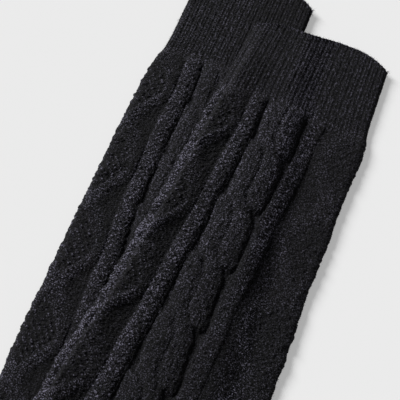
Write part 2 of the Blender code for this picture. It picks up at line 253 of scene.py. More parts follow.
# Painted highlight along a thin line beside the upper cuff's left fold
LINE_INWARD = 3.6
LINE_NEARS = 1.8
LINE_HIGHLIGHT = Bump(0.0, 0.6, 1.1)
# Painted highlight on the ridge along the upper sock's left fold, where it catches the light; the ridge also
# stands out
FOLD_RIDGE_AND_HIGHLIGHT = Bump(-1.2, 1.8, 1.0)
HIGHLIGHT_GAIN_CUFF = 0.2
HIGHLIGHT_GAIN_LEG = 0.7
HIGHLIGHT_ADDED = 0.8
# Painted light where the cloth slopes down out of the light, and a painted highlight on creases
PAINTED_SLOPE_LIGHT = 5.0
CREASE_HIGHLIGHT = 0.5
# Painted shade on the lower sock near and under the upper sock's left fold
NEAR_SHADE = 0.25
NEAR = Ramp(-14, 10)
UNDER_SHADE = 0.35
UNDER = Ramp(-7, 7)
LOWER_LIGHT = 1.2
PLAIN_TONE = 0.7

# Unevenness: how wide and long its patches are, how strong it is, and its seed
Uneven = namedtuple("Uneven", "wide long strong seed")
SWAY = Uneven(60, 17, 0.9, 31)
WALE_STRAYS = Uneven(5, 4, 0.5, 41)
COURSE_STRAYS = Uneven(4, 5, 0.5, 43)
STITCH_STRAYS = Uneven(3, 3, 0.5, 61)
HAND = Uneven(1, 1, 0.45, 11)
RIB_HAND = Uneven(0.5, 1, 0.25, 23)
STREAKS = Uneven(1 / 2.2, 4, 0.5, 71)
PINCHES = Uneven(4, 20, 0.7, 33)
SEED_TONES = Uneven(3, 3, 0.6, 67)
BEAD_TONES = Uneven(2.5, 3, 0.6, 91)
LEG_TONES = Uneven(9, 14, 0.25, 81)
# Specks and patches in the painted highlight on the fold
HIGHLIGHT_SPECKS = Uneven(1.5, 1.8, 0.6, 97)
HIGHLIGHT_PATCHES = Uneven(9, 11, 0.4, 99)
EDGE_BUMPS = Uneven(2.6, 3.2, 0.9, 57)
ROUGH = Uneven(0.9, 0.9, 0.35, 51)
RIB_ROUGH = Uneven(0.9, 0.9, 0.21, 53)
CABLE_ROUGH_LONG = 2.5
EDGE_BUMPS_GROW = Ramp(-6, 5)
PLAINER_EDGE = 0.5

# Points: columns to a wale and rows to a course where the stitches show
FINE_COLUMNS = 4
FINE_ROWS = 4
RIB_COLUMNS = 8
PLAIN_COLUMNS = 111
UNDER_POINTS = 16
INNER_SHARES = (-1.0, -0.91, -0.8, -0.7, -0.6, -0.5, -0.3, -0.1, 0.1, 0.3, 0.5, 0.7, 0.85, 1.0)

# Fuzz: how many fibres stand at a sock's folds, on its leg's face, along its foot, on its rim and in a tuft
EDGE_FIBRES = 2600
FACE_FIBRES = 2600
FOOT_FIBRES = 1000
RIM_FIBRES = 500
TUFT_FIBRES = 26
FIBRE_LONG = 1.8
FIBRE_HALF = 0.08
FIBRE_ROOT = 0.3
FIBRE_SPREAD = 0.55
FIBRE_TONE = 1.2
TUFT_LONGER = 1.6

# Yarn: its dark and light colours, and the fine flecks and bumps of its fibres; the flecks are random grain
# and also painted highlights on the fibres, and the gaps between plain stitches get painted shade
DARK_YARN = (0.001, 0.001, 0.0012)
RIB_YARN = (0.0505, 0.0485, 0.066)
CABLE_YARN = (0.111, 0.106, 0.1435)
PLAIN_YARN = (0.0875, 0.084, 0.112)
FLECK_SCALE = 1150.0
FLECK_GAIN = 21.0
FLECK_CUT = 10.9
FLECK_LEAST = 0.04
TONE_GAIN = 0.245
TONE_LEAST = 0.022
GAP_SHADE = 0.7
FIBRE_SCALE = 1500.0
FIBRE_BUMP = 0.0009

# Light: a wide soft lamp from the upper left, and an even grey all round, over a pale surface
LIGHT_AZIMUTH = 157.0
LIGHT_ELEVATION = 30.0
LIGHT_SPREAD = 24.0
LIGHT_STRENGTH = 6.2
AMBIENT = 0.15
SURFACE_HALF = 4.0
SURFACE_UP = -0.0005
SURFACE_PALE = 0.42
SURFACE_GLOW = 0.352

# Camera: it looks at the layout frame's origin, down on the pair's upper part
VIEW_AZIMUTH = 23.0
VIEW_ELEVATION = 72.0
VIEW_DISTANCE = 0.58
VIEW_LENS = 78.85

# Where a leg's stretches meet, from where on its rows are half as fine, and the gap between two pieces
LEG_SPLITS = (150.0, 250.0)
FINE_TO = 302.0
PIECE_GAP = 0.01

# A sock's folds: heights, and where its left and right edges lie there
Folds = namedtuple("Folds", "y left right")
UPPER_FOLDS = Folds(
    (140, 110, 90, 72, 40, 0, -40, -80, -115, -150, -185, -220),
    (-12.5, -15.0, -16.6, -17.9, -20.4, -22.5, -26.7, -30.2, -35.8, -39.9, -39.0, -34.5),
    (82.6, 84.4, 85.5, 88.0, 87.3, 87.9, 87.9, 89.8, 90.8, 89.4, 79.5, 67.0),
)
LOWER_FOLDS = Folds(
    (172, 130, 97, 74, 50, 0, -65, -115, -150, -185),
    (-64.6, -65.2, -65.4, -68.3, -69.2, -69.3, -69.3, -69.2, -68.0, -64.0),
    (18.4, 19.2, 20.0, 26.5, 31.0, 36.0, 43.5, 49.5, 48.5, 37.5),
)

# What is each sock's own: the upper one's value, then the lower one's
SOCKS = (
    ("name", "upper", "lower"),
    ("folds", UPPER_FOLDS, LOWER_FOLDS),
    # The cuff's top edge, its height, and how far that edge falls at its left corner and rises further right
    ("top", 137.5, 167.5),
    ("cuff", 53.0, 70.5),
    ("left_droop", 7.5, 5.0),
    ("rise", 5.0, 0.0),
    # Where the pattern's centre line crosses CENTRE_AT, and its move to the right per mm up
    ("centre", 29.3, -20.9),
    ("lean", 0.058, -0.025),
    # How far the first crossing and the first diamond lie below the cuff's top edge, and their pitches
    ("crossing", 91.2, 112.0),
    ("crossing_pitch", 42.3, 38.2),
    ("diamond", 81.0, 102.9),
    ("diamond_pitch", 62.2, 61.5),
    # How far the top face stands up beside the left fold
    ("swell", 2.8, 0.0),
    # How much wider the pattern gets towards the ankle, how far it strays, and up to which offset it shows
    ("spread", 0.22, 0.0),
    ("wander", 0.0, 1.1),
    ("shows_to", 90.0, 9.0),
    # The left cord's half width and height, and how deep the dimples are
    ("cord_half", 5.4, 5.7),
    ("cord_high", 2.7, 2.2),
    ("pinch", 1.0, 0.5),
    # Tones of the strands, the painted highlight on the left cord's lit side, the ground away from the
    # diamonds' painted shadow, and the cuff
    ("strand_tone", 0.54, 0.38),
    ("glint", 0.55, 0.15),
    ("far_ground", 0.12, 0.04),
    ("cuff_light", 1.0, 1.15),
    # Up to how far below the cuff's top edge fibres stand at the right fold as well, and the fibres' seed
    ("fuzz_to", ANKLE_DROP, 40.0),
    ("fuzz_seed", 6, 5),
    ("rests_on", ["lower_leg_high"], []),
)
Sock = namedtuple("Sock", [field for field, upper, lower in SOCKS])
UPPER = Sock(*[upper for field, upper, lower in SOCKS])
LOWER = Sock(*[lower for field, upper, lower in SOCKS])

# Creases in the top face, as soft ridges from start to end in the layout frame
Crease = namedtuple("Crease", "sock start end half high")
CREASES = (
    Crease("lower", (-71, -11), (-52, 6), 4.5, 0.9),
    Crease("upper", (-24, 22), (-8, 44), 3.0, 0.8),
    Crease("upper", (-30, -42), (-12, -22), 3.0, 0.8),
    Crease("upper", (-36, -100), (-16, -80), 3.0, 0.8),
)
CREASE_GROWS = Ramp(-0.3, 0.3)
CREASE_FADES = Ramp(0.5, 0.9)

# Courses across a sock, as arrays: the fold points, the droop of the ends, the rise, the share of the full
# thickness, the swell, how far the pattern's centre line lies right of the middle, and the distance below the
# cuff's top
Rows = namedtuple("Rows", "left right left_droop right_droop rise thick swell centre drop")

# A relief at each point: how far it stands out of the plain wall, and how light its yarn is, from 0 to 1.
# That tone holds painted shade and painted light too: darker in the gaps between stitches and in hollows,
# lighter on crests and lit sides
Relief = namedtuple("Relief", "height tone")

# Where points of a leg lie in its pattern: offset from the centre line, distance below the cuff's top,
# distance from the cords' middle, half width of the cord on that side, wale and course, how thick the stitch
# came out, how far it strays, and the height of its purl stitch
Spot = namedtuple("Spot", "offset drop side cord_half wales courses hand stray purl")


def smooth(t):
    t = np.clip(t, 0, 1)
    return t * t * (3 - 2 * t)


def ridge(t):
    """Height of a round ridge, t half-widths from its middle."""
    return np.sqrt(np.maximum(0, 1 - t * t))


def climb(ramp, values):
    """How far up a soft step these values are, from 0 to 1."""
    return smooth((values - ramp.start) / ramp.over)


def on_bump(bump, values):
    """A soft bump's height at these values."""
    return bump.high * np.exp(-(((values - bump.at) / bump.half) ** 2))


def at_least(least, values):
    """Values from 0 to 1, raised so that they start at the least one."""
    return least + (1 - least) * values


def standing(values):
    """One value for each row, ready to meet one for each column."""
    return values[:, None]


def between(table, columns, rows, s, t):
    """A table read between two columns and two rows, s and t of the way on."""
    near = table[columns[0], rows[0]] * (1 - s) + table[columns[1], rows[0]] * s
    far = table[columns[0], rows[1]] * (1 - s) + table[columns[1], rows[1]] * s
    return near * (1 - t) + far * t


def noise(x, y, seed):
    """Smooth seeded noise from -1 to 1 with one bump to a unit."""
    size = 128
    table = np.random.default_rng(seed).uniform(-1, 1, (size, size))
    x, y = np.broadcast_arrays(x, y)
    column = np.floor(x).astype(int)
    row = np.floor(y).astype(int)
    s = smooth(x - column)
    t = smooth(y - row)
    return between(table, (column % size, (column + 1) % size), (row % size, (row + 1) % size), s, t)


def uneven(kind, across, along):
    """Seeded unevenness of one kind, at places across and along the cloth."""
    return kind.strong * noise(across / kind.wide, along / kind.long, kind.seed)


def fold_at(folds, side, y):
    """Where a sock's left or right edge lies at heights y, on a smooth curve through its folds."""
    heights = np.array(folds.y[::-1], float)
    values = np.array(getattr(folds, side)[::-1], float)
    slopes = np.gradient(values, heights)
    i = np.clip(np.searchsorted(heights, y) - 1, 0, len(heights) - 2)
    span = heights[i + 1] - heights[i]
    t = (y - heights[i]) / span
    return (
        values[i] * (1 + 2 * t) * (1 - t) ** 2
        + values[i + 1] * t * t * (3 - 2 * t)
        + span * (slopes[i] * t * (1 - t) ** 2 - slopes[i + 1] * t * t * (1 - t))
    )


def leg_rows(sock, drops):
    """The courses that lie these far below the cuff's top edge."""
    y = sock.top - drops
    left_droop = sock.left_droop * (1 - smooth(drops / ANKLE_DROP))
    right_droop = RIGHT_DROOP * np.exp(-drops / CORNER_FADE)
    left = fold_at(sock.folds, "left", y - left_droop)
    right = fold_at(sock.folds, "right", y - right_droop)
    swell = sock.swell * at_least(SWELL_START, smooth(drops / SWELL_FADE))
    swell *= smooth((ANKLE_DROP - drops) / SWELL_FADE)
    rise = sock.rise * (1 - smooth(drops / sock.cuff))
    centre = sock.centre + sock.lean * (y - CENTRE_AT) - (left + right) / 2
    left = np.stack([left, y], 1)
    right = np.stack([right, y], 1)
    return Rows(left, right, left_droop, right_droop, rise, np.ones_like(y), swell, centre, drops)


def ankle(sock):
    """The leg's last course: its height, its left fold and its right fold."""
    y = sock.top - ANKLE_DROP
    return y, float(fold_at(sock.folds, "left", y)), float(fold_at(sock.folds, "right", y))


def foot_start(sock):
    """How far ahead of the back of the heel the foot starts."""
    y, left, right = ankle(sock)
    return right + INSTEP_RADIUS - left


def plain_rows(left, right, thick, along):
    """Courses with straight ends; along is how far each lies from the piece's first course."""
    zeros = np.zeros(len(left))
    left, right, thick, along = (np.array(values) for values in (left, right, thick, along))
    return Rows(left, right, zeros, zeros, zeros, thick, zeros, zeros, along)


def heel_reach(angle, across, down):
    """Distance from the instep's pivot to the heel, a rounded corner across wide and down deep."""
    x = math.cos(angle)
    y = math.sin(angle)
    if across * y <= (down - HEEL_RADIUS) * x:
        return across / x
    if down * x <= (across - HEEL_RADIUS) * y:
        return down / y
    towards = x * (across - HEEL_RADIUS) + y * (down - HEEL_RADIUS)
    beyond = (across - HEEL_RADIUS) ** 2 + (down - HEEL_RADIUS) ** 2 - HEEL_RADIUS**2
    return towards + math.sqrt(towards * towards - beyond)


def heel_rows(sock, count):
    """Courses that fan out round the instep from the ankle to the sole."""
    y, left, right = ankle(sock)
    pivot_x = right + INSTEP_RADIUS
    lefts = []
    rights = []
    for angle in np.linspace(0, math.pi / 2, count):
        reach = heel_reach(angle, pivot_x - left, INSTEP_RADIUS + FOOT_HEIGHT)
        x = math.cos(angle)
        down = math.sin(angle)
        lefts.append((pivot_x - reach * x, y - reach * down))
        rights.append((pivot_x - INSTEP_RADIUS * x, y - INSTEP_RADIUS * down))
    middle_radius = INSTEP_RADIUS + FOOT_HEIGHT / 2
    along = np.linspace(0, math.pi / 2 * middle_radius, count)
    return plain_rows(lefts, rights, np.ones(count), along)


def foot_rows(sock, aheads):
    """The courses that lie these far ahead of the back of the heel."""
    y, left, right = ankle(sock)
    arch = foot_start(sock)
    toe = FOOT_LENGTH - TOE_LENGTH
    instep = y - INSTEP_RADIUS
    sole = instep - FOOT_HEIGHT
    middle = (instep + sole) / 2
    hollow = ARCH_RISE * np.sin(math.pi * np.clip((aheads - arch) / (toe - arch), 0, 1))
    share = np.clip((aheads - toe) / TOE_LENGTH, 0, 1)
    half = (instep - sole) / 2 * (1 - share**TOE_POWER) ** (1 / TOE_POWER) - hollow
    nose = np.maximum(0, (aheads - FOOT_LENGTH + NOSE) / NOSE)
    x = left + aheads
    return plain_rows(
        np.stack([x, middle - half], 1), np.stack([x, middle + half], 1), ridge(nose), aheads - aheads[0]
    )


def half_width(rows):
    return np.hypot(*(rows.right - rows.left).T) / 2


def half_across(rows):
    return standing(half_width(rows))


def past_fold(rows, around):
    """How far right of the left fold's start these points lie."""
    return around + half_across(rows) - FOLD


def place(rows, across):
    """The points of rows that lie these far right of their middles."""
    share = across / half_across(rows)
    t = (share + 1) / 2
    x, y = (standing(left) + t * standing(right - left) for left, right in zip(rows.left.T, rows.right.T))
    y = y + standing(rows.rise) * climb(RISE, share)
    for droop, outward in ((rows.left_droop, -share), (rows.right_droop, share)):
        bend = np.maximum(0, outward - DROOP_START) / (1 - DROOP_START)
        y = y - standing(droop) * bend**2
    return x, y


def sock_outline(sock):
    """The whole sock's edge, seen from above."""
    aheads = np.linspace(foot_start(sock), FOOT_LENGTH - NOSE, 16)[1:]
    parts = (leg_rows(sock, np.linspace(0, ANKLE_DROP, 48)), heel_rows(sock, 24), foot_rows(sock, aheads))
    lefts = []
    rights = []
    for rows in parts:
        half = half_across(rows)
        lefts.append(np.hstack(place(rows, -half)))
        rights.append(np.hstack(place(rows, half)))
    return np.vstack(lefts + [np.vstack(rights)[::-1]])


def outline_distance(outline, x, y):
    """Distance of points from a closed outline, zero inside it."""
    nearest = np.full(x.shape, np.inf)
    inside = np.zeros(x.shape, bool)
    for start, end in zip(outline, np.roll(outline, -1, axis=0)):
        run = end - start
        t = np.clip(((x - start[0]) * run[0] + (y - start[1]) * run[1]) / max(run @ run, 1e-9), 0, 1)
        nearest = np.minimum(nearest, np.hypot(x - start[0] - t * run[0], y - start[1] - t * run[1]))
        if start[1] != end[1]:
            crosses = (start[1] > y) != (end[1] > y)
            inside ^= crosses & (x < start[0] + run[0] * (y - start[1]) / run[1])
    return np.where(inside, 0, nearest)


def crease_height(sock, x, y):
    """How far the creases lift the cloth at these points."""
    height = np.zeros(x.shape)
    for crease in CREASES:
        if crease.sock == sock.name:
            run = np.subtract(crease.end, crease.start)
            away_x = x - crease.start[0]
            away_y = y - crease.start[1]
            t = (away_x * run[0] + away_y * run[1]) / (run @ run)
            beside = (away_x * run[1] - away_y * run[0]) / math.hypot(*run)
            along = climb(CREASE_GROWS, t) * (1 - climb(CREASE_FADES, t))
            height += along * on_bump(Bump(0.0, crease.half, crease.high), beside)
    return height


def floor_map():
    """Heights that the upper sock's underside lies on, on a grid, and the grid's first point."""
    outline = sock_outline(LOWER)
    low = outline.min(0) - 2 * COMES_DOWN.over
    high = outline.max(0) + 2 * COMES_DOWN.over
    x, y = np.meshgrid(
        np.arange(low[0], high[0], FLOOR_STEP), np.arange(low[1], high[1], FLOOR_STEP), indexing="ij"
    )
    lift = np.full(x.shape, float(LIFTS[0].high))
    for above, below in zip(LIFTS, LIFTS[1:]):
        lift += (below.high - above.high) * smooth((above.y - y) / (above.y - below.y))
    beyond = outline_distance(outline, x, y)
    return lift * (1 - climb(COMES_DOWN, beyond)), low


FLOOR_MAP, FLOOR_START = floor_map()


def floor_height(sock, x, y):
    """What a sock's underside lies on at these points: the surface, or the sock below."""
    if sock is LOWER:
        return np.zeros(x.shape)
    s = np.clip((x - FLOOR_START[0]) / FLOOR_STEP, 0, FLOOR_MAP.shape[0] - 1.001)
    t = np.clip((y - FLOOR_START[1]) / FLOOR_STEP, 0, FLOOR_MAP.shape[1] - 1.001)
    i = s.astype(int)
    j = t.astype(int)
    return between(FLOOR_MAP, (i, i + 1), (j, j + 1), s - i, t - j)


def swell_height(rows, across):
    """How far the top face stands up at these distances right of the rows' middles."""
    inward = past_fold(rows, across)
    return standing(rows.swell) * climb(SWELL_RISES, inward) * (1 - climb(SWELL_FALLS, inward))


def painted_slope_light(sock, rows, around):
    """Painted light: how much lighter the yarn is made on creases, as a painted highlight, and where the
    cloth slopes down, out of the light.
    """
    x, y = place(rows, around)
    slope = floor_height(sock, x - FLOOR_STEP, y) - floor_height(sock, x + FLOOR_STEP, y)
    slope = np.maximum(slope / (2 * FLOOR_STEP), 0)
    return 1 + PAINTED_SLOPE_LIGHT * slope + CREASE_HIGHLIGHT * crease_height(sock, x, y)


def shade_under_fold(sock, rows, around):
    """How light the lower sock's yarn is: painted shade where it goes in under the upper sock."""
    if sock is UPPER:
        return 1.0
    x, y = place(rows, around)
    beyond = x - fold_at(UPPER.folds, "left", np.minimum(y, UPPER.top))
    return LOWER_LIGHT * (1 - NEAR_SHADE * climb(NEAR, beyond) - UNDER_SHADE * climb(UNDER, beyond))


def fold_line_highlight(rows, around):
    """How much lighter the upper cuff's yarn is along a thin line beside its left fold, as a painted
    highlight.
    """
    middle = LINE_INWARD - LINE_NEARS * standing(rows.drop) / UPPER.cuff
    return 1 + on_bump(LINE_HIGHLIGHT, past_fold(rows, around) - middle)


def on_leg(sock, rows):
    """How fully the leg's pattern has started below the cuff."""
    return smooth((standing(rows.drop) - sock.cuff) / STARTS_OVER)


def fold_highlight_and_bumps(sock, rows, around, relief):
    """The relief with the ridge along the upper sock's left fold standing out, a painted highlight on that
    ridge, and bumpy edges.
    """
    drop = standing(rows.drop)
    ridge_and_highlight = (sock.swell > 0) * on_bump(FOLD_RIDGE_AND_HIGHLIGHT, past_fold(rows, around))
    patchy = (1 + uneven(HIGHLIGHT_SPECKS, around, drop)) * (1 + uneven(HIGHLIGHT_PATCHES, around, drop))
    started = on_leg(sock, rows)
    # Painted highlight on the fold's ridge, patchy
    tone = relief.tone * (1 + ridge_and_highlight * (HIGHLIGHT_GAIN_CUFF + HIGHLIGHT_GAIN_LEG * started)) + HIGHLIGHT_ADDED * ridge_and_highlight * patchy * started
    bumps = uneven(EDGE_BUMPS, around, drop) * np.where((around < 0) & (sock is UPPER), 1.0, PLAINER_EDGE)
    past = np.abs(around) - half_across(rows) + FOLD
    bumps *= climb(EDGE_BUMPS_GROW, past)
    return Relief(relief.height + (FOLD_PROUD * ridge_and_highlight + bumps) * started, tone)


def knit_stitch(wales, courses):
    """Plain knit: each stitch is two legs that lean together, with a gap between one wale and the next."""
    beside = 2 * np.abs(wales - np.floor(wales) - 0.5)
    leg = 1 - (2 * beside - 1) ** 2
    leg = np.where(beside < 0.5, 0.5 + 0.5 * leg, leg)
    slant = 0.5 + 0.5 * np.cos(TURN * (courses - 0.5 * beside))
    return np.maximum(leg, 0) ** 0.7 * at_least(0.35, slant)


def purl_stitch(wales, courses):
    """Purl: level rows of small arcs."""
    arcs = courses + 0.2 * np.cos(TURN * wales)
    return (0.5 + 0.5 * np.cos(TURN * arcs)) * (0.75 + 0.25 * np.cos(TURN * wales))


def seed_stitch(wales, courses):
    """Seed stitch: round bumps set like a chequerboard."""
    return np.maximum(0, np.cos(math.pi * wales) * np.cos(math.pi * courses)) ** 0.6


def after_notch(sock, drop, notch):
    """How far on from one notch in the cable's edge to the next, from 0 to 1, with the step back rounded."""
    pitch = sock.crossing_pitch
    along = (drop - sock.crossing - notch) % pitch
    return along / pitch * smooth((pitch - along) / NOTCH_BACK)


def cable_edges(sock, drop):
    """How far left and right of the centre line the cable's notched edges lie."""
    deep = NOTCH * (1 + NOTCH_MORE * climb(NOTCH_GROWS, drop))
    left = CABLE_LEFT - deep * after_notch(sock, drop, LEFT_NOTCH)
    return left, CABLE_RIGHT - deep * (1 - after_notch(sock, drop, RIGHT_NOTCH))


def cable(sock, offset, drop):
    """The rope cable's height, and each point's place across its strand in wales."""
    nearest = np.round((drop - sock.crossing) / sock.crossing_pitch)
    height = np.zeros(offset.shape)
    wales = height.copy()
    left_outer, right_outer = (edge - STRAND_OUT for edge in cable_edges(sock, drop))
    for step in (-1, 0, 1):
        below = drop - (sock.crossing + (nearest + step) * sock.crossing_pitch)
        moved = smooth((below + CROSSING_HALF) / (2 * CROSSING_HALF))
        from_middle = offset - STRAND_OUT * (2 * moved - 1)
        left_half = left_outer + (STRAND_INNER - left_outer) * moved
        right_half = STRAND_INNER + (right_outer - STRAND_INNER) * moved
        reach = np.abs(from_middle) / np.where(from_middle < 0, left_half, right_half)
        starts = smooth((below + sock.crossing_pitch + CROSSING_HIDE) / CROSSING_FADE)
        ends = smooth((sock.crossing_pitch + CROSSING_HIDE - below) / CROSSING_FADE)
        proud = STRAND_HIGH + CROSSING_HIGH * ridge(below / CROSSING_HALF)
        strand = proud * starts * ends * np.sqrt(np.maximum(0, 1 - reach**STRAND_ROUND))
        on_top = strand > height
        height = np.where(on_top, strand, height)
        wales = np.where(on_top, from_middle / WALE, wales)
    arch = 1 - STRAND_ARCH * (offset / (STRAND_OUT + STRAND_OUTER)) ** 2
    return height * arch, wales


def from_nearest(drop, first, pitch):
    """How far below the nearest of a row of places: the first one's drop and their pitch are given."""
    return (drop - first + pitch / 2) % pitch - pitch / 2


def dimples(sock, offset, drop):
    """How deep the cable is pinched beside each crossing."""
    beyond = from_nearest(drop, sock.crossing, sock.crossing_pitch)
    way_across, way_down = DIMPLE_WAY
    deep = np.zeros(offset.shape)
    for dimple in DIMPLES:
        across = offset - dimple.across
        below = beyond - dimple.below
        along = across * way_across + below * way_down
        beside = across * way_down - below * way_across
        square = (along / DIMPLE_LONG) ** 2 + (beside / DIMPLE_HALF) ** 2
        deep += dimple.deep * np.exp(-square / 2)
    return deep * (1 + uneven(PINCHES, offset, drop)) * sock.pinch


def blend(one, other):
    """The higher of two heights, with the edge between them rounded."""
    return np.maximum(one, other) + BLEND * np.log1p(np.exp(-np.abs(one - other) / BLEND))


def diamond_place(sock, offset, drop):
    """How far outside a diamond's outline a point lies, negative inside it, and how far below its middle."""
    beside = np.abs(np.where(offset < 0, offset + DIAMOND_OUT, offset - DIAMOND_RIGHT))
    below = from_nearest(drop, sock.diamond, sock.diamond_pitch)
    swell = 0.5 + 0.5 * np.cos(math.pi * np.minimum(1, np.abs(below) / DIAMOND_HALF_HEIGHT))
    return beside - STEM_HALF - (DIAMOND_HALF_WIDTH - STEM_HALF) * swell, below


def leg_spot(sock, offset, drop):
    """Where points lie in the leg's pattern, which sways, spreads towards the ankle and strays."""
    offset, drop = np.broadcast_arrays(offset, drop)
    offset = offset + uneven(SWAY, offset, drop) * smooth((drop - sock.cuff) / SWAY_OVER)
    spread = sock.spread * np.where(offset < 0, 1, SPREAD_RIGHT)
    offset = offset / (1 + spread * climb(SPREADS, drop))
    offset = offset + sock.wander * np.sin((drop - WANDER_FROM) / WANDER_LONG) * (drop > WANDER_FROM)
    side = np.abs(offset - CORD_SHIFT)
    cord_half = np.where(offset < 0, sock.cord_half, CORD_HALF)
    wales = (offset + uneven(WALE_STRAYS, offset, drop)) / WALE
    courses = (drop + uneven(COURSE_STRAYS, offset, drop)) / COURSE
    hand = 1 + uneven(HAND, wales, courses)
    stray = uneven(STITCH_STRAYS, offset, drop)
    purl = purl_stitch(wales, courses + SKEW * wales) * hand
    return Spot(offset, drop, side, cord_half, wales, courses, hand, stray, purl)


def strand_relief(sock, spot):
    """The cable's two strands in plain knit, pinched beside their crossings."""
    strand, wales = cable(sock, spot.offset, spot.drop)
    knit = at_least(STRAND_LEAST, knit_stitch(wales, spot.courses)) * (1 + uneven(STREAKS, wales, spot.drop))
    pinched = dimples(sock, spot.offset, spot.drop)
    # Painted shade in the dimples
    tone = sock.strand_tone * knit * (1 - PINCH_SHADE * pinched)
    tone *= 1 - LOW_DARK * climb(LOW_DARKENS, spot.drop)
    return Relief(strand - STRAND_DEEP * (1 - knit) - pinched, tone)


def cord_relief(sock, spot):
    """The round cords beside the cable: mostly beads on the left one, mostly plain knit on the right one."""
    left = spot.offset < 0
    away = np.abs((spot.side - CORD_OUT) / spot.cord_half)
    cord = np.sqrt(np.maximum(0, 1 - away ** np.where(left, CORD_ROUND, CORD_RIGHT_ROUND)))
    along = spot.courses * COURSE
    beads = seed_stitch(spot.wales + 0.5 + spot.stray, 2 * along / BEAD_PITCH + BEAD_SLIP * spot.stray)
    knit = knit_stitch(spot.wales + 0.3 + spot.stray, along / CORD_STITCH + CORD_SLIP * spot.stray)
    beads = beads * np.where(left, BEAD_SHARE, RIGHT_BEAD_SHARE) * spot.hand
    beads += knit * np.where(left, CORD_KNIT_SHARE, RIGHT_KNIT_SHARE) * spot.hand
    high = np.where(left, sock.cord_high, CORD_RIGHT_HIGH)
    # Painted highlight on the left cord's lit side
    lit = 1 + sock.glint * on_bump(GLINT, spot.offset)
    # On the right cord: painted light at its middle, painted shade towards its flanks
    right_lit = at_least(RIGHT_CORD_FLANK_SHADE, ridge((spot.offset - RIGHT_CORD_LIT_AT) / RIGHT_CORD_LIT_HALF))
    tone = (BEAD_DARK + BEAD_LIGHT * beads) * (1 + uneven(BEAD_TONES, spot.offset, spot.drop))
    # Painted shade towards both cords' edges
    tone *= at_least(CORD_FLANK_SHADE, cord) * np.where(left, lit, RIGHT_CORD_TONE * right_lit)
    return Relief(high * cord - BEAD_DEEP * (1 - beads) * cord, tone)


def diamond_relief(sock, spot):
    """Diamonds of seed stitch in knitted outlines on a purl ground, fainter in the right column."""
    beyond, below = diamond_place(sock, spot.offset, spot.drop)
    on_top = climb(TOP_STARTS, below) * (1 - climb(TOP_ENDS, below))
    flank = smooth(1 - beyond / (OUTLINE_FLANK * (1 + TOP_FLANK * on_top)))
    outline = np.where(beyond < 0, ridge(beyond / OUTLINE_HALF), flank)
    on_outline = climb(ON_OUTLINE, outline)
    outline_knit = knit_stitch(beyond / WALE, spot.courses) * spot.hand
    stray = SEED_SLIP * spot.stray
    seeds = seed_stitch(spot.wales + stray, spot.courses / 2 + stray) * spot.hand
    outside = climb(OUTSIDE, beyond)
    right = climb(RIGHT_COLUMN, spot.offset)

    crown = SEED_HIGH + SEED_CROWN * (1 - np.clip(1 + beyond / DIAMOND_HALF_WIDTH, 0, 1) ** 2)
    ground = GROUND + GROUND_RISE * np.clip(1 - beyond / GROUND_REACH, 0, 1) ** 2
    form = blend(OUTLINE_HIGH * outline, crown + (ground - crown) * outside)
    cut = SEED_DEEP * (1 - seeds) * (1 - outside) + PURL_DEEP * (1 - spot.purl) * outside
    cut = KNIT_DEEP * (1 - outline_knit) * on_outline + cut * (1 - on_outline)

    seed_tone = SEED_TONE * seeds * (1 + uneven(SEED_TONES, spot.offset, spot.drop))
    # Painted shadow on the ground below the outline, lifting away from it
    shaded_ground_tone = SHADOWED_GROUND_TONE + sock.far_ground * climb(GROUND_OUT_OF_SHADOW, beyond)
    # Painted shade on the upper part of each outline
    tone = OUTLINE_TONE * outline_knit * on_outline * (1 - TOP_SHADE * on_top)
    tone += (seed_tone * (1 - outside) + shaded_ground_tone * spot.purl * outside) * (1 - on_outline)
    right_tone = RIGHT_TONE + RIGHT_OUTLINE_TONE * on_outline
    right_tone -= RIGHT_INSIDE_DARK * (1 - climb(RIGHT_INSIDE_ENDS, beyond))
    tone += (right_tone * at_least(0.5, spot.purl) - tone) * right
    return Relief((form - cut) * (1 - FAINT * right), tone)


def leg_relief(sock, offset, drop):
    """The leg's stitches, at offsets from the pattern's centre line and distances below the cuff's top."""
    spot = leg_spot(sock, offset, drop)
    strand = strand_relief(sock, spot)
    cord = cord_relief(sock, spot)
    diamond = diamond_relief(sock, spot)
    in_cable = (spot.offset > -CABLE_LEFT) & (spot.offset < CABLE_RIGHT)
    in_cord = np.abs(spot.side - CORD_OUT) < spot.cord_half
    cases = [in_cable, in_cord, spot.side < CORD_OUT + spot.cord_half]
    channel = CHANNEL_HIGH - PURL_DEEP * (1 - spot.purl)
    height = np.select(cases, [strand.height, cord.height, channel], diamond.height)
    # The channel's tone is painted shade
    tone = np.select(cases, [strand.tone, cord.tone, CHANNEL_SHADE * spot.purl], diamond.tone)

    beyond_edge = spot.offset - cable_edges(sock, spot.drop)[1]
    tone *= 1 + uneven(LEG_TONES, spot.offset, spot.drop)
    # Painted shade lines: shadow beside the cable's right edge, shade beyond the cords
    tone *= 1 - on_bump(EDGE_SHADOW_LINE, beyond_edge)
    for line in CORD_SHADE_LINES:
        tone *= 1 - on_bump(line, spot.offset)

    plain = knit_stitch(spot.wales, spot.courses) * spot.hand
    pattern = 1 - climb(PATTERN_ENDS, spot.drop)
    height = height * pattern - KNIT_DEEP * (1 - plain) * (1 - pattern)
    height -= on_bump(TROUGH, beyond_edge) * pattern
    height += uneven(ROUGH, spot.offset, spot.drop / np.where(in_cable, CABLE_ROUGH_LONG, 1.0))
    return Relief(height, tone * pattern + plain * (1 - pattern))


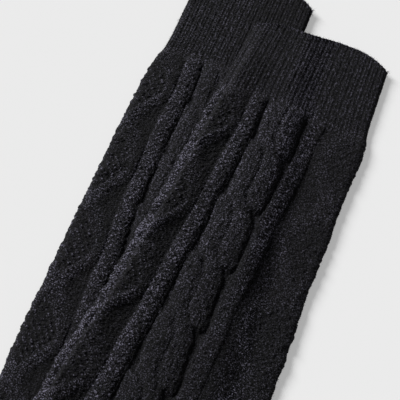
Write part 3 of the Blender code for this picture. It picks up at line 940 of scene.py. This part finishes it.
def rib_relief(rows, around):
    """The cuff's ribs: two wales of knit side by side, then a valley."""
    drop = standing(rows.drop)
    ribs = around / standing(4 * half_width(rows) / RIBS)
    from_crest = np.abs(ribs - np.round(ribs))
    courses = drop / COURSE
    stitch = knit_stitch(np.clip(from_crest / RIB_HALF, 0, 1) * 0.999, courses)
    stitch = stitch * (1 + uneven(RIB_HAND, ribs, courses))
    groove = RIB_GROOVE * np.maximum(0, 1 - from_crest / RIB_GROOVE_HALF)
    rib = ridge(np.clip((from_crest - RIB_WALE) / RIB_WALE_HALF, -0.6, 1))
    lip = on_bump(LIP, drop)
    height = RIB_SHOWN * rib - groove - RIB_DEEP * (1 - stitch) * rib + uneven(RIB_ROUGH, around, drop)
    # Painted shade on the ribs' flanks and valleys, and a painted highlight on the top edge
    tone = (RIB_DARK + RIB_LIGHT * stitch) * at_least(RIB_FLANK_SHADE, rib) * (1 + LIP_HIGHLIGHT * lip)
    return Relief(height + lip, tone)


def plain_relief(rows, around):
    """The heel's, foot's and toe's plain cloth, whose stitches are the material's."""
    height = np.zeros(around.shape)
    return Relief(height, height + PLAIN_TONE)


def ring_around(rows, offsets):
    """How far round the tube each point lies: given offsets over the top, then even steps underneath.

    The result's last column is the first one again, one whole turn later.
    """
    top = offsets + standing(rows.centre)
    flat = half_across(rows) - FOLD
    turn = 4 * flat + 4 * FOLD_ARC
    steps = np.linspace(0, 1, UNDER_POINTS + 2)[1:]
    under = top[:, -1:] + steps * (turn - top[:, -1:] + top[:, :1])
    around = np.hstack([top, under])
    return around, turn


def cross_section(rows, around, turn):
    """Where points this far round a flattened tube lie: across and up, and the way the cloth faces there."""
    half = half_across(rows)
    fold = np.minimum(FOLD, half / 2)
    thick = THICK * standing(rows.thick)
    around = np.where(around > turn / 2, around - turn, around)
    side = np.where(around < 0, -1.0, 1.0)
    past = np.abs(around) - (half - fold)
    angle = math.pi / 2 * (1 - np.clip(past / FOLD_ARC, 0, 2))
    under = np.maximum(past - 2 * FOLD_ARC, 0)
    bent = side * (half - fold + fold * np.cos(angle) - under)
    across = np.where(past < 0, around, bent)
    up = thick / 2 * (1 + np.sin(angle)) + np.where(past < 0, swell_height(rows, across), 0)
    return across, up, side, angle


def outer_points(sock, rows, around, turn, relief):
    """The outside of a piece: its points, where round its rim each lies, and the share of relief it has."""
    across, up, side, angle = cross_section(rows, around, turn)
    full = climb(PROUD, np.degrees(angle))
    proud = relief.height * full
    x, y = place(rows, across + side * proud * np.cos(angle))
    rises = full * np.maximum(np.sin(angle), 0)
    up = np.maximum(up + proud * np.sin(angle) + rises * crease_height(sock, x, y), 0)
    points = np.stack([x, y, floor_height(sock, x, y) + up], 2)
    share = across / half_across(rows)
    places = np.where(angle > 0, 0.25 * (share + 1), 0.5 + 0.25 * (1 - share))
    places = np.where((places > 0.75) & (around < 0), places - 1, places)
    return points, places, full


def inner_points(sock, rows):
    """The plain slit inside the flattened tube."""
    half = half_width(rows)
    half = standing(half - np.minimum(SLIT_INSET, half / 3))
    shares = np.array(INNER_SHARES)
    ring = np.concatenate([shares, shares[-2:0:-1]])
    above = np.arange(len(ring)) < len(shares)
    ends = np.abs(ring) == 1
    low = WALL * standing(rows.thick)
    high = THICK * standing(rows.thick) - low
    up = np.where(ends, (low + high) / 2, np.where(above, high + swell_height(rows, half * ring), low))
    x, y = place(rows, half * ring)
    points = np.stack([x, y, floor_height(sock, x, y) + up], 2)
    places = np.where(above, 0.25 * (ring + 1), 0.5 + 0.25 * (1 - ring))
    return points, places


def ring_quads(count_rows, count_columns, first, inside_out=False):
    """Faces between rings of points, as numbers of their four corners."""
    i, j = np.meshgrid(np.arange(count_rows - 1), np.arange(count_columns), indexing="ij")
    one = first + i * count_columns + j
    one_next = first + i * count_columns + (j + 1) % count_columns
    corners = (one, one + count_columns, one_next + count_columns, one_next)
    if inside_out:
        corners = corners[::-1]
    return np.stack([corner.ravel() for corner in corners], 1)


def rim_faces(outer, outer_places, inner, inner_places, at_start):
    """Triangles between an outer and an inner loop, taking the next point of whichever lies nearer."""
    outer_next = np.append(outer_places[1:], outer_places[0] + 1)
    inner_next = np.append(inner_places[1:], inner_places[0] + 1)
    faces = []
    i = 0
    j = 0
    while i < len(outer) or j < len(inner):
        here = outer[i % len(outer)]
        there = inner[j % len(inner)]
        if j == len(inner) or (i < len(outer) and outer_next[i] <= inner_next[j]):
            i += 1
            faces.append((here, outer[i % len(outer)], there))
        else:
            j += 1
            faces.append((here, inner[j % len(inner)], there))
    return faces if at_start else [face[::-1] for face in faces]


def make_piece(name, sock, rows, offsets, relief_of, inner_rows, material, closed=False):
    """One piece of a sock: a fine outside with its stitches, round a plain slit."""
    around, turn = ring_around(rows, offsets)
    relief = relief_of(rows, around)
    points, places, full = outer_points(sock, rows, around, turn, relief)
    points = points[:, :-1]
    count_rows, count_columns = points.shape[:2]
    inside, inside_places = inner_points(sock, inner_rows)
    inner_first = count_rows * count_columns
    inner_count = inside.shape[1]

    vertices = np.vstack([points.reshape(-1, 3), inside.reshape(-1, 3)])
    quads = ring_quads(count_rows, count_columns, 0)
    inner_quads = ring_quads(len(inside), inner_count, inner_first, inside_out=True)
    outer_ring = np.arange(count_columns)
    inner_ring = inner_first + np.arange(inner_count)
    triangles = rim_faces(outer_ring, places[0, :-1], inner_ring, inside_places, True)
    outer_end = outer_ring + (count_rows - 1) * count_columns
    inner_end = inner_ring + (len(inside) - 1) * inner_count
    if closed:
        middle = len(vertices)
        vertices = np.vstack([vertices, points[-1].mean(0), inside[-1].mean(0)])
        triangles += [(b, a, middle) for a, b in zip(outer_end, np.roll(outer_end, -1))]
        triangles += [(a, b, middle + 1) for a, b in zip(inner_end, np.roll(inner_end, -1))]
    else:
        triangles += rim_faces(outer_end, places[-1, :-1], inner_end, inside_places, False)

    mesh = bpy.data.meshes.new(name)
    vertices = (vertices - MIDDLE) * MM
    mesh.from_pydata(vertices.tolist(), [], quads.tolist() + inner_quads.tolist() + triangles)
    mesh.shade_smooth()

    # Stitch coordinates: wales round the tube and courses along it
    u = (around - standing(rows.centre)) / WALE
    v = standing(rows.drop) / COURSE + np.zeros_like(u)
    grid = np.stack([u, v], 2)
    corners = np.stack([grid[:-1, :-1], grid[1:, :-1], grid[1:, 1:], grid[:-1, 1:]], 2).reshape(-1, 2)
    loops = np.zeros((len(mesh.loops), 2))
    loops[: len(corners)] = corners
    mesh.uv_layers.new(name="stitches").data.foreach_set("uv", loops.ravel())
    add_values(mesh, "tone", relief.tone[:, :-1], 0.3)

    # Where the material draws the stitches: all over plain cloth, elsewhere where the relief fades out
    drawn = full + 1 if relief_of is plain_relief else 1 - full
    add_values(mesh, "plain", drawn[:, :-1], 0.0)
    mesh.materials.append(material)
    return add_object(name, mesh)


def add_values(mesh, name, values, elsewhere):
    """A number at each vertex: values on the outside, and one for all the rest."""
    numbers = np.full(len(mesh.vertices), float(elsewhere))
    numbers[: values.size] = np.clip(values, 0, 4).ravel()
    mesh.attributes.new(name, "FLOAT", "POINT").data.foreach_set("value", numbers)


def leg_offsets(sock, rows):
    """Columns over a leg's top and folds: fine where it shows, then one to a wale."""
    reach = half_width(rows) - FOLD + 2 * FOLD_ARC
    left = -(reach + rows.centre).max() / WALE
    right = (reach - rows.centre).max() / WALE
    shows_to = min(sock.shows_to / WALE, right)
    fine = np.arange(math.floor(left * FINE_COLUMNS), math.ceil(shows_to * FINE_COLUMNS)) / FINE_COLUMNS
    coarse = np.arange(math.ceil(shows_to), math.ceil(right) + 1)
    return np.concatenate([fine, coarse]) * WALE


def course_drops(start, end, rows_to_course):
    """Distances below the cuff's top, in step with the courses, between two ends."""
    step = COURSE / rows_to_course
    inside = np.arange(math.ceil(start / step + 0.2), math.floor(end / step - 0.2) + 1) * step
    return np.concatenate([[start], inside, [end]])


def make_leg(sock, part, start, end, material):
    """A stretch of leg, with rows half as fine where it no longer shows."""
    drops = course_drops(start, min(FINE_TO, end), FINE_ROWS)
    if end > FINE_TO:
        drops = np.concatenate([drops, course_drops(FINE_TO, end, FINE_ROWS / 2)[1:]])
    rows = leg_rows(sock, drops)
    inner = leg_rows(sock, np.linspace(start, end, 8))

    def relief_of(rows, around):
        ribs = rib_relief(rows, around)
        leg = leg_relief(sock, around - standing(rows.centre), standing(rows.drop))
        started = on_leg(sock, rows)
        height = ribs.height + (leg.height - ribs.height) * started
        rib_tone = RIB_ON_LEG * ribs.tone
        # Painted light on slopes and creases, and painted shade where the lower sock goes in under the upper
        tone = (rib_tone + (leg.tone - rib_tone) * started) * painted_slope_light(sock, rows, around)
        return fold_highlight_and_bumps(sock, rows, around, Relief(height, tone * shade_under_fold(sock, rows, around)))

    offsets = leg_offsets(sock, rows)
    return make_piece(f"{sock.name}_leg_{part}", sock, rows, offsets, relief_of, inner, material)


class Nodes:
    """A new material, with short ways to add nodes to it and join them."""

    def __init__(self, name):
        self.material = bpy.data.materials.new(name)
        self.material.use_nodes = True
        self.tree = self.material.node_tree
        self.shader = self.tree.nodes["Principled BSDF"]

    def feed(self, node, inputs):
        """Join or set a node's inputs, given by name or number."""
        for name, value in inputs.items():
            if isinstance(value, bpy.types.NodeSocket):
                self.tree.links.new(value, node.inputs[name])
            else:
                node.inputs[name].default_value = value

    def add(self, kind, inputs=None, **settings):
        """A new node's outputs."""
        node = self.tree.nodes.new(f"ShaderNode{kind}")
        for name, value in settings.items():
            setattr(node, name, value)
        self.feed(node, inputs or {})
        return node.outputs

    def maths(self, operation, *values):
        return self.add("Math", dict(enumerate(values)), operation=operation)[0]

    def noise(self, scale, detail, vector):
        return self.add("TexNoise", {"Vector": vector, "Scale": scale, "Detail": detail})["Fac"]

    def bump(self, height, distance, **normal):
        return self.add("Bump", {"Height": height, "Strength": 1.0, "Distance": distance, **normal})["Normal"]


def plain_stitches(nodes):
    """Plain knit drawn by the material: how much is missing between stitches, and the stitches' height."""
    parts = nodes.add("SeparateXYZ", {0: nodes.add("UVMap", uv_map="stitches")["UV"]})
    plain = nodes.maths("MINIMUM", nodes.add("Attribute", attribute_name="plain")["Fac"], 1.0)
    middle = nodes.maths("SUBTRACT", nodes.maths("FRACT", parts[0]), 0.5)
    beside = nodes.maths("MULTIPLY", nodes.maths("ABSOLUTE", middle), 2.0)
    slant = nodes.maths("MULTIPLY_ADD", beside, -0.5, parts[1])
    wave = nodes.maths("MULTIPLY_ADD", nodes.maths("COSINE", nodes.maths("MULTIPLY", slant, TURN)), 0.5, 0.5)
    from_leg = nodes.maths("MULTIPLY_ADD", beside, 2.0, -1.0)
    leg = nodes.maths("SUBTRACT", 1.0, nodes.maths("MULTIPLY", from_leg, from_leg))
    height = nodes.maths("MULTIPLY", leg, nodes.maths("MULTIPLY_ADD", wave, 0.65, 0.35))
    missing = nodes.maths("MULTIPLY", plain, nodes.maths("SUBTRACT", 1.0, height))
    return missing, nodes.maths("MULTIPLY", plain, height)


def knit_material(name, light):
    """Near-black yarn: painted shade between the stitches, lighter and fuzzy on their crests."""
    nodes = Nodes(name)
    place_on = nodes.add("TexCoord")["Object"]
    tone = nodes.add("Attribute", attribute_name="tone")["Fac"]
    # Fine flecks: random grain that also stands in for glints on the fibres, a painted highlight
    fibres = nodes.noise(FLECK_SCALE, 0.0, place_on)
    flecks = nodes.maths("MULTIPLY_ADD", fibres, FLECK_GAIN, -FLECK_CUT)
    flecks = nodes.maths("MAXIMUM", flecks, FLECK_LEAST)
    share = nodes.maths("MULTIPLY", nodes.maths("MULTIPLY_ADD", tone, TONE_GAIN, TONE_LEAST), flecks)
    missing, stitch = plain_stitches(nodes)
    # Painted shade in the gaps between plain stitches
    share = nodes.maths("MULTIPLY", share, nodes.maths("MULTIPLY_ADD", missing, -GAP_SHADE, 1.0))
    colours = {"Factor": share, 6: (*DARK_YARN, 1.0), 7: (*light, 1.0)}
    bump = nodes.bump(nodes.noise(FIBRE_SCALE, 3.0, place_on), FIBRE_BUMP)
    nodes.feed(nodes.shader, {
        "Base Color": nodes.add("Mix", colours, data_type="RGBA")[2],
        "Normal": nodes.bump(stitch, PLAIN_DEEP * MM, Normal=bump),
        "Roughness": 0.7,
        "Specular IOR Level": 0.1,
        "Sheen Weight": 0.02,
        "Sheen Roughness": 0.5,
    })
    return nodes.material


def add_object(name, data):
    """A new object in the scene."""
    new = bpy.data.objects.new(name, data)
    bpy.context.collection.objects.link(new)
    return new


def make_stage():
    """A plain pale surface under the pair."""
    mesh = bpy.data.meshes.new("surface")
    corners = ((-1, -1), (1, -1), (1, 1), (-1, 1))
    corners = [(SURFACE_HALF * x, SURFACE_HALF * y, SURFACE_UP) for x, y in corners]
    mesh.from_pydata(corners, [], [(0, 1, 2, 3)])
    nodes = Nodes("pale_surface")
    nodes.feed(nodes.shader, {
        "Base Color": (SURFACE_PALE, SURFACE_PALE, SURFACE_PALE, 1.0),
        "Emission Color": (1.0, 1.0, 1.0, 1.0),
        "Emission Strength": SURFACE_GLOW,
        "Roughness": 1.0,
        "Specular IOR Level": 0.0,
    })
    mesh.materials.append(nodes.material)
    add_object("surface", mesh)


def make_light():
    lamp = bpy.data.lights.new("soft_lamp", "SUN")
    lamp.energy = LIGHT_STRENGTH
    lamp.angle = math.radians(LIGHT_SPREAD)
    azimuth = math.radians(LIGHT_AZIMUTH)
    turned = (math.radians(90 - LIGHT_ELEVATION), 0, azimuth + math.pi / 2)
    add_object("soft_lamp", lamp).rotation_euler = turned
    world = bpy.data.worlds.new("studio")
    world.use_nodes = True
    world.node_tree.nodes["Background"].inputs["Color"].default_value = (AMBIENT, AMBIENT, AMBIENT, 1.0)
    bpy.context.scene.world = world


def make_camera():
    camera = bpy.data.cameras.new("camera")
    camera.lens = VIEW_LENS
    camera.clip_start = 0.01
    azimuth = math.radians(VIEW_AZIMUTH)
    elevation = math.radians(VIEW_ELEVATION)
    across = VIEW_DISTANCE * math.cos(elevation)
    camera_object = add_object("camera", camera)
    camera_object.location = (
        -MIDDLE[0] * MM + across * math.sin(azimuth),
        -MIDDLE[1] * MM - across * math.cos(azimuth),
        VIEW_DISTANCE * math.sin(elevation),
    )
    camera_object.rotation_euler = (math.pi / 2 - elevation, 0, azimuth)
    bpy.context.scene.camera = camera_object
    bpy.context.scene.view_settings.view_transform = "Standard"


def finish_piece(piece, node, slot, width, length, rests_on, area=None):
    """Hand a piece to the frame: attach it to the root body and hide the solid it stands for."""
    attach(piece, "root")
    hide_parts(node)
    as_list(rests_on)


def width_round(rows):
    """A tube's width laid flat, all round it."""
    return 4 * half_width(rows).mean()


def make_legs(sock, material):
    """A leg in three stretches that meet between courses."""
    parts = (
        ("high", sock.cuff - SEAM + PIECE_GAP, LEG_SPLITS[0] - PIECE_GAP),
        ("middle", LEG_SPLITS[0], LEG_SPLITS[1] - PIECE_GAP),
        ("low", LEG_SPLITS[1], ANKLE_DROP - PIECE_GAP),
    )
    for part, start, end in parts:
        piece = make_leg(sock, part, start, end, material)
        width = width_round(leg_rows(sock, np.linspace(start, end, 9)))
        finish_piece(piece, f"{sock.name}_leg", "cable_knit", width, end - start, sock.rests_on)


def make_cuff(sock, material):
    """A cuff, whose columns follow its ribs."""
    length = sock.cuff - SEAM
    rows = leg_rows(sock, course_drops(0, length, FINE_ROWS))
    pitch = 4 * half_width(rows) / RIBS
    reach = int(((half_width(rows) - FOLD + 2 * FOLD_ARC) / pitch).max() * RIB_COLUMNS) + 1
    shares = np.arange(-reach, reach + 1) / RIB_COLUMNS
    offsets = shares * standing(pitch) - standing(rows.centre)
    inner = leg_rows(sock, np.linspace(0, length, 5))

    def relief_of(rows, around):
        relief = rib_relief(rows, around)
        # Painted light on slopes and creases, evening the ribs there, and painted shade where the lower sock
        # goes in under the upper
        lit = painted_slope_light(sock, rows, around) ** CUFF_SLOPE
        tone = relief.tone + (CUFF_TONE - relief.tone) * CUFF_EVEN * (1 - 1 / lit)
        tone = tone * lit * shade_under_fold(sock, rows, around) * sock.cuff_light
        # Painted highlight along a thin line beside the upper cuff's left fold
        if sock is UPPER:
            tone = tone * fold_line_highlight(rows, around)
        return fold_highlight_and_bumps(sock, rows, around, Relief(relief.height, tone))

    piece = make_piece(f"{sock.name}_cuff_knit", sock, rows, offsets, relief_of, inner, material)
    finish_piece(piece, f"{sock.name}_cuff", "rib_knit", width_round(rows), length, sock.rests_on)


def make_plain(sock, part, rows, inner, material, flat, area=None, closed=False):
    """A piece in plain knit, with flat as its width and length laid flat."""
    half = half_width(rows)
    reach = half - np.minimum(FOLD, half / 2) + 2 * FOLD_ARC
    offsets = np.linspace(-1, 1, PLAIN_COLUMNS) * standing(reach)
    name = f"{sock.name}_{part}"
    piece = make_piece(f"{name}_knit", sock, rows, offsets, plain_relief, inner, material, closed)
    finish_piece(piece, name, "plain_knit", *flat, sock.rests_on, area)


def make_foot(sock, material):
    """Heel, foot and toe."""
    heel = heel_rows(sock, 110)
    length = math.pi / 2 * (INSTEP_RADIUS + FOOT_HEIGHT / 2)
    make_plain(sock, "heel", heel, heel_rows(sock, 13), material, (width_round(heel), length))

    start = foot_start(sock) + PIECE_GAP
    end = FOOT_LENGTH - TOE_LENGTH - PIECE_GAP
    rows = foot_rows(sock, np.linspace(start, end, 120))
    inner = foot_rows(sock, np.linspace(start, end, 4))
    make_plain(sock, "foot", rows, inner, material, (width_round(rows), end - start))

    start = FOOT_LENGTH - TOE_LENGTH
    length = TOE_LENGTH - NOSE
    aheads = start + length * np.sin(np.linspace(0, math.pi / 2, 50))
    aheads = np.concatenate([aheads, FOOT_LENGTH - NOSE * np.array([0.7, 0.45, 0.25, 0.1])])
    inner_aheads = start + (length - WALL) * np.sin(np.linspace(0, math.pi / 2, 6)[:-1])
    width = 2 * FOOT_HEIGHT
    area = 0.8 * width * TOE_LENGTH * MM * MM
    inner = foot_rows(sock, inner_aheads)
    make_plain(sock, "toe", foot_rows(sock, aheads), inner, material, (width, TOE_LENGTH), area, closed=True)


def fibre_roots(sock, rows, around):
    """Where fibres stand, one to a row at these distances round the tube, and which way the cloth faces."""
    around = standing(around)
    turn = 4 * (half_across(rows) - FOLD + FOLD_ARC)
    flat = Relief(np.zeros(around.shape), None)
    points = outer_points(sock, rows, around, turn, flat)[0][:, 0]
    angle = cross_section(rows, around, turn)[3][:, 0]
    run = rows.right - rows.left
    run = run / np.hypot(*run.T)[:, None] * standing(np.sign(around[:, 0]) * np.cos(angle))
    return points, np.hstack([run, standing(np.sin(angle))])


def fuzz_roots(sock, random):
    """Roots and ways of fibres at a sock's folds, on its leg's face, its foot and its rim, and in a tuft."""

    def at_folds(rows, sides):
        bend = random.uniform(-1.0, 1.1, len(sides))
        return fibre_roots(sock, rows, sides * (half_width(rows) - FOLD + FOLD_ARC * (1 + bend) / 2))

    drops = random.uniform(1, ANKLE_DROP - 2, EDGE_FIBRES)
    on_right = (random.uniform(0, 1, EDGE_FIBRES) < 0.5) & (drops < sock.fuzz_to)
    yield at_folds(leg_rows(sock, drops), np.where(on_right, 1.0, -1.0))

    rows = leg_rows(sock, random.uniform(1, ANKLE_DROP - 2, FACE_FIBRES))
    left = -half_width(rows)
    right = np.minimum(rows.centre + sock.shows_to, -left)
    yield fibre_roots(sock, rows, left + (right - left) * random.uniform(0.03, 0.97, FACE_FIBRES))

    aheads = random.uniform(foot_start(sock), FOOT_LENGTH - 4, FOOT_FIBRES)
    yield at_folds(foot_rows(sock, np.sort(aheads)), random.choice([-1.0, 1.0], FOOT_FIBRES))

    rows = leg_rows(sock, np.full(RIM_FIBRES, 0.3))
    roots, ways = fibre_roots(sock, rows, half_width(rows) * random.uniform(-0.97, 0.97, RIM_FIBRES))
    yield roots, 0.5 * ways + (0.0, 0.9, 0.0)

    rows = leg_rows(sock, random.uniform(1, 2.5, TUFT_FIBRES))
    roots, ways = fibre_roots(sock, rows, half_width(rows) - FOLD + 0.6 * FOLD_ARC)
    yield roots, 1.2 * ways + (0.9, 0.9, 0.0)


def unit(vectors):
    return vectors / np.linalg.norm(vectors, axis=1)[:, None]


def make_fuzz(sock, material):
    """Loose fibres that stand out of the yarn, as thin spikes."""
    random = np.random.default_rng(sock.fuzz_seed)
    roots, ways = (np.vstack(found) for found in zip(*fuzz_roots(sock, random)))
    ways = unit(ways + random.normal(0, FIBRE_SPREAD, ways.shape))
    longs = FIBRE_LONG * random.uniform(0.4, 1.4, len(roots))
    longs[-TUFT_FIBRES:] *= TUFT_LONGER
    beside = unit(np.cross(ways, random.normal(0, 1, ways.shape)))
    other = np.cross(ways, beside)
    corners = []
    for turn in (0, TURN / 3, 2 * TURN / 3):
        beyond = math.cos(turn) * beside + math.sin(turn) * other
        corners.append(roots - FIBRE_ROOT * ways + FIBRE_HALF * beyond)
    corners.append(roots + longs[:, None] * ways)
    points = np.stack(corners, 1)
    points[:, :, 2] = np.maximum(points[:, :, 2], 0.01)
    points = (points - MIDDLE) * MM
    first = 4 * np.arange(len(roots))[:, None, None]
    faces = first + np.array([(0, 1, 3), (1, 2, 3), (2, 0, 3), (2, 1, 0)])
    name = f"{sock.name}_fuzz"
    mesh = bpy.data.meshes.new(name)
    mesh.from_pydata(points.reshape(-1, 3).tolist(), [], faces.reshape(-1, 3).tolist())
    add_values(mesh, "tone", np.zeros(0), FIBRE_TONE)
    add_values(mesh, "plain", np.zeros(0), 0.0)
    mesh.materials.append(material)
    piece = add_object(name, mesh)
    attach(piece, "root")


def main():
    make_stage()
    make_light()
    make_camera()
    rib = knit_material("rib_yarn", RIB_YARN)
    cable_yarn = knit_material("cable_yarn", CABLE_YARN)
    plain = knit_material("plain_yarn", PLAIN_YARN)
    for sock in (LOWER, UPPER):
        make_cuff(sock, rib)
        make_legs(sock, cable_yarn)
        make_foot(sock, plain)
        make_fuzz(sock, cable_yarn)


main()
